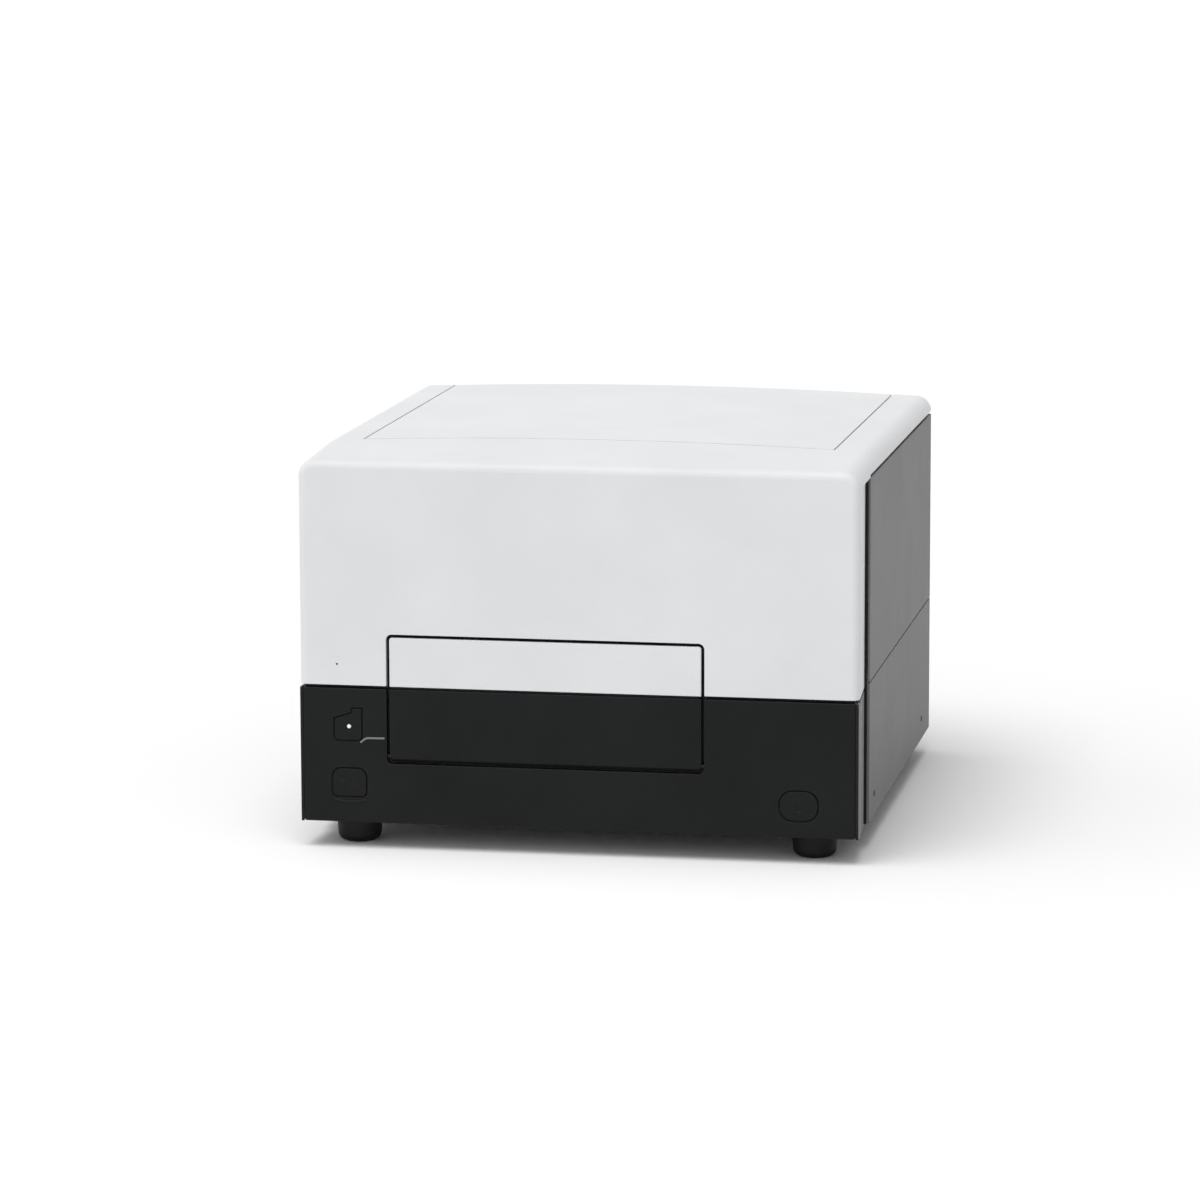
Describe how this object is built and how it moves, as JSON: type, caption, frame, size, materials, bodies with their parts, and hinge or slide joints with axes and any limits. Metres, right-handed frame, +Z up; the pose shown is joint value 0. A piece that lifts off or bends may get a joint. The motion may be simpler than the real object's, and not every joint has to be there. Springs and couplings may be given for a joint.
{
  "type": "microplate reader",
  "caption": "Boxy benchtop microplate reader: light upper housing over a charcoal front, fold-down plate door, sliding plate carrier on a scanning stage, push keys, rubber feet.",
  "frame": {"origin": "on the bench, under the middle of the housing's width and depth", "axes": "+X to the right seen from the front, +Y from the front towards the rear, +Z up"},
  "size_m": [0.425, 0.435, 0.3034],
  "materials": {
    "light_cover": "light grey moulded cover, fine satin grain",
    "charcoal": "charcoal moulded plastic, satin",
    "mid_grey": "mid grey powder coat",
    "frame_grey": "mid grey moulded frame",
    "black_plastic": "black moulded plastic",
    "rubber": "black rubber",
    "steel": "bright steel",
    "aluminium": "machined and anodised",
    "dark_anodised": "black anodised aluminium",
    "bronze": "sintered bronze",
    "board_green": "green circuit board laminate",
    "led_lens": "clear light pipe"
  },
  "bodies": {
    "housing": {"base_tray": "mid_grey", "belt_brackets": "aluminium", "board_standoffs": "bronze", "bridge_posts": "steel", "case_screws": "steel", "data_port": "steel", "door_sleeve": "black_plastic", "drive_belt": "rubber", "drive_motor": "black_plastic", "emission_monochromator": "dark_anodised", "excitation_monochromator": "dark_anodised", "fan_guard": "steel", "fan_housing": "black_plastic", "flash_lamp": "aluminium", "foot_front_left": "rubber", "foot_front_right": "rubber", "foot_rear_left": "rubber", "foot_rear_right": "rubber", "foot_screws": "steel", "front_frame": "frame_grey", "guide_rods": "steel", "hinge_pins": "steel", "lower_front_panel": "charcoal", "lower_read_head": "dark_anodised", "main_board": "board_green", "mains_inlet": "black_plastic", "optics_bridge": "aluminium", "photomultiplier": "aluminium", "power_supply": "aluminium", "rear_panel": "mid_grey", "rocker_bezel": "black_plastic", "rod_blocks": "aluminium", "side_panel_left": "mid_grey", "side_panel_right": "mid_grey", "switch_boards": "board_green", "top_lid": "light_cover", "transport_deck": "aluminium", "upper_cover": "light_cover", "upper_read_head": "dark_anodised"},
    "plate_door": {"door_skin_upper": "light_cover", "door_skin_lower": "charcoal", "door_backing": "black_plastic", "door_seal": "rubber"},
    "slide_stage": {"transport_stage": "dark_anodised", "linear_bushes": "bronze", "cross_rods": "steel", "scan_motor": "black_plastic", "belt_clamp": "aluminium"},
    "scan_drive": {"scan_screw": "steel"},
    "carrier": {"plate_carrier": "dark_anodised", "lever_pin": "steel"},
    "clamp": {"clamp_lever": "steel"},
    "drive_wheel": {"drive_pulley": "aluminium"},
    "idler_wheel": {"idler_pulley": "aluminium"},
    "status_key": {"status_button": "charcoal", "status_led": "led_lens"},
    "plate_key": {"plate_button": "charcoal"},
    "power_key": {"power_button": "charcoal"},
    "fan": {"fan_rotor": "black_plastic"},
    "rocker": {"power_rocker": "black_plastic"}
  },
  "joints": [
    {"name": "plate_slide", "type": "slide", "parent": "housing", "child": "slide_stage", "axis": [0, -1, 0], "range_m": [0, 0.205]},
    {"name": "door_swing", "type": "hinge", "parent": "housing", "child": "plate_door", "pos_m": [-0.0246, -0.2145, 0.0716], "axis": [1, 0, 0], "range_deg": [0, 90]},
    {"name": "scan_slide", "type": "slide", "parent": "slide_stage", "child": "carrier", "axis": [1, 0, 0], "range_m": [-0.045, 0.045]},
    {"name": "scan_screw_turn", "type": "hinge", "parent": "slide_stage", "child": "scan_drive", "pos_m": [-0.0246, 0.0355, 0.111], "axis": [1, 0, 0], "range_deg": [-820, 820]},
    {"name": "clamp_swing", "type": "hinge", "parent": "carrier", "child": "clamp", "pos_m": [0.0094, 0.00178, 0.111], "axis": [0, 0, 1], "range_deg": [0, 12]},
    {"name": "drive_turn", "type": "hinge", "parent": "housing", "child": "drive_wheel", "pos_m": [0.0674, 0.1355, 0.085], "axis": [1, 0, 0], "range_deg": [-5, 1475]},
    {"name": "idler_turn", "type": "hinge", "parent": "housing", "child": "idler_wheel", "pos_m": [0.0674, -0.1715, 0.085], "axis": [1, 0, 0], "range_deg": [-5, 1475]},
    {"name": "status_press", "type": "slide", "parent": "housing", "child": "status_key", "axis": [0, 1, 0], "range_m": [0, 0.002], "stiffness_N_per_m": 400, "springref_m": -0.002},
    {"name": "plate_press", "type": "slide", "parent": "housing", "child": "plate_key", "axis": [0, 1, 0], "range_m": [0, 0.002], "stiffness_N_per_m": 400, "springref_m": -0.002},
    {"name": "power_press", "type": "slide", "parent": "housing", "child": "power_key", "axis": [0, 1, 0], "range_m": [0, 0.002], "stiffness_N_per_m": 400, "springref_m": -0.002},
    {"name": "fan_spin", "type": "hinge", "parent": "housing", "child": "fan", "pos_m": [0.112, 0.2025, 0.212], "axis": [0, 1, 0], "continuous": true},
    {"name": "rocker_tilt", "type": "hinge", "parent": "housing", "child": "rocker", "pos_m": [0.112, 0.208, 0.066], "axis": [1, 0, 0], "range_deg": [0, 16]}
  ],
  "couplings": [
    {"joint": "door_swing", "follows": "plate_slide", "rad_per_m": 7.662},
    {"joint": "drive_turn", "follows": "plate_slide", "rad_per_m": 125},
    {"joint": "idler_turn", "follows": "plate_slide", "rad_per_m": 125},
    {"joint": "scan_screw_turn", "follows": "scan_slide", "rad_per_m": 314.16}
  ]
}
